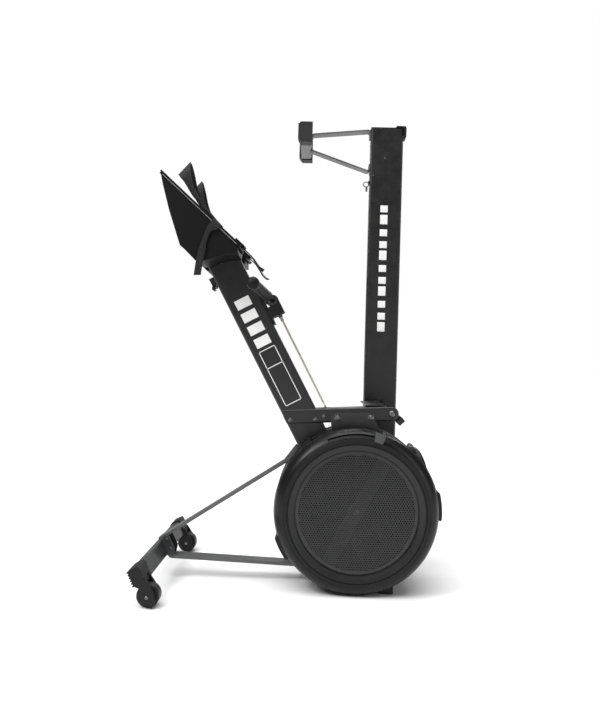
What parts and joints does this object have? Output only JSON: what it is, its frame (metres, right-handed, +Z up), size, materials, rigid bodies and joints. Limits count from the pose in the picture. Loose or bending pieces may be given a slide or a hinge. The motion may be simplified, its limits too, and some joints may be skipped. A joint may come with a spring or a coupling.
{
  "type": "rowing machine",
  "caption": "Rowing machine with a perforated fan drum, taken apart for upright storage: front section on its nose, separate seat rail standing behind.",
  "frame": {"origin": "centre of the bounding box on the floor that the stored machine stands on", "axes": "+Z up; the drum's axle lies along Y; -X is the side of the front foot, towards the floor of the machine in use"},
  "size_m": [0.8902, 0.6738, 1.531],
  "materials": {
    "frame_black": "fine-textured satin black powder coat",
    "drum_black": "satin moulded black plastic",
    "grille_black": "painted perforated steel",
    "leg_grey": "grey silver powder coat",
    "cap_black": "black moulded plastic",
    "rubber_black": "matt black rubber",
    "wheel_black": "black wheel rubber",
    "bolt_steel": "zinc-plated steel",
    "track_steel": "brushed stainless strip",
    "dark_steel": "oiled dark steel",
    "fan_black": "black moulded plastic",
    "disc_aluminium": "turned aluminium",
    "lever_grey": "grey plastic",
    "chain_brass": "nickel and brass plated chain",
    "grip_black": "matt black rubber grip",
    "footrest_black": "black moulded plastic with a fine grain",
    "strap_black": "woven black webbing",
    "seat_black": "moulded dark foam"
  },
  "bodies": {
    "front_frame": {"axle": "bolt_steel", "axle_brackets": "dark_steel", "drum_bracket": "frame_black", "drum_shell_left": "drum_black", "drum_shell_right": "drum_black", "fixed_pins": "bolt_steel", "foot_plate_left": "footrest_black", "foot_plate_right": "footrest_black", "footrest_covers": "footrest_black", "footrest_tubes": "frame_black", "frame_bolts": "bolt_steel", "front_cap_left": "cap_black", "front_cap_right": "cap_black", "front_crossbar": "leg_grey", "front_leg_lower": "leg_grey", "front_leg_upper": "leg_grey", "grille_left": "grille_black", "grille_right": "grille_black", "handle_holder": "cap_black", "main_beam": "frame_black", "post_channel": "frame_black", "rail_socket": "frame_black", "rim_band": "drum_black", "shell_clasps": "drum_black", "storage_bracket": "frame_black", "storage_foot": "rubber_black", "strap_buckles": "cap_black", "toe_strap_left": "strap_black", "toe_strap_right": "strap_black"},
    "flywheel": {"fan": "fan_black", "brake_disc": "disc_aluminium", "drive_sprocket": "dark_steel"},
    "resistance_lever": {"resistance_lever": "lever_grey"},
    "magnet_bracket": {"magnet_bracket": "dark_steel"},
    "transport_wheel_right": {"transport_wheel_right": "wheel_black"},
    "transport_wheel_left": {"transport_wheel_left": "wheel_black"},
    "idler": {"idler_sprocket": "dark_steel"},
    "chain": {"chain_core": "chain_brass"},
    "handle": {"chain_plates": "chain_brass", "handle_bar": "bolt_steel", "handle_grips": "grip_black", "handle_yoke": "bolt_steel"},
    "heel_right": {"heel_cup_right": "footrest_black"},
    "heel_left": {"heel_cup_left": "footrest_black"},
    "latch": {"rail_latch": "cap_black"},
    "display_bracket": {"monitor_bracket": "frame_black"},
    "rail": {"seat_rail": "frame_black", "rail_track": "track_steel", "rail_end_cap": "cap_black", "rail_foot": "cap_black", "seat_stop": "rubber_black", "rear_crossbar": "leg_grey", "rear_caps": "rubber_black", "rear_leg_upper": "leg_grey", "rear_leg_lower": "leg_grey", "rear_fasteners": "bolt_steel"},
    "seat": {"seat_pad": "seat_black", "seat_carriage": "cap_black"},
    "seat_roller_upper": {"seat_roller_upper": "wheel_black"},
    "seat_roller_lower": {"seat_roller_lower": "wheel_black"}
  },
  "joints": [
    {"name": "flywheel_spin", "type": "hinge", "parent": "front_frame", "child": "flywheel", "pos_m": [0.18913, -0.03413, 0.247], "axis": [0, 1, 0], "continuous": true},
    {"name": "resistance_turn", "type": "hinge", "parent": "front_frame", "child": "resistance_lever", "pos_m": [0.18913, -0.03413, 0.247], "axis": [0, -1, 0], "range_deg": [0, 34]},
    {"name": "magnet_turn", "type": "hinge", "parent": "front_frame", "child": "magnet_bracket", "pos_m": [0.39114, -0.03413, 0.33906], "axis": [0, -1, 0], "range_deg": [0, 3]},
    {"name": "transport_spin_right", "type": "hinge", "parent": "front_frame", "child": "transport_wheel_right", "pos_m": [-0.38787, -0.30513, 0.032], "axis": [0, 1, 0], "continuous": true},
    {"name": "transport_spin_left", "type": "hinge", "parent": "front_frame", "child": "transport_wheel_left", "pos_m": [-0.38787, 0.23687, 0.032], "axis": [0, 1, 0], "continuous": true},
    {"name": "idler_spin", "type": "hinge", "parent": "front_frame", "child": "idler", "pos_m": [0.08543, -0.03413, 0.5225], "axis": [0, -1, 0], "continuous": true},
    {"name": "chain_swing", "type": "hinge", "parent": "front_frame", "child": "chain", "pos_m": [0.08543, -0.03413, 0.5225], "axis": [0, 1, 0], "range_deg": [0, 12]},
    {"name": "handle_pull", "type": "slide", "parent": "chain", "child": "handle", "axis": [-0.471, 0, 0.8821], "range_m": [0, 0.254]},
    {"name": "heel_slide_right", "type": "slide", "parent": "front_frame", "child": "heel_right", "axis": [0.7459, 0, -0.666], "range_m": [-0.012, 0.05]},
    {"name": "heel_slide_left", "type": "slide", "parent": "front_frame", "child": "heel_left", "axis": [0.7459, 0, -0.666], "range_m": [-0.012, 0.05]},
    {"name": "latch_turn", "type": "hinge", "parent": "front_frame", "child": "latch", "pos_m": [-0.27872, -0.03413, 0.93822], "axis": [0, 1, 0], "range_deg": [0, 15], "stiffness_Nm_per_rad": 0.5, "springref_deg": -17.19},
    {"name": "display_tilt", "type": "hinge", "parent": "front_frame", "child": "display_bracket", "pos_m": [0.29867, -0.03413, 0.53498], "axis": [0, -1, 0], "range_deg": [0, 75]},
    {"name": "rail_lift", "type": "slide", "parent": "front_frame", "child": "rail", "axis": [0, 0, 1], "range_m": [0, 0.6]},
    {"name": "seat_slide", "type": "slide", "parent": "rail", "child": "seat", "axis": [0, 0, 1], "range_m": [0, 1.03]},
    {"name": "seat_roll_upper", "type": "hinge", "parent": "seat", "child": "seat_roller_upper", "pos_m": [0.36093, 0.21087, 0.359], "axis": [0, -1, 0], "continuous": true},
    {"name": "seat_roll_lower", "type": "hinge", "parent": "seat", "child": "seat_roller_lower", "pos_m": [0.36093, 0.21087, 0.238], "axis": [0, -1, 0], "continuous": true}
  ],
  "couplings": [
    {"joint": "magnet_turn", "follows": "resistance_turn", "ratio": 0.08},
    {"joint": "chain_swing", "follows": "handle_pull", "rad_per_m": 0.82456},
    {"joint": "idler_spin", "follows": "handle_pull", "rad_per_m": 55.556},
    {"joint": "seat_roll_upper", "follows": "seat_slide", "rad_per_m": 58.824},
    {"joint": "seat_roll_lower", "follows": "seat_slide", "rad_per_m": 58.824}
  ]
}
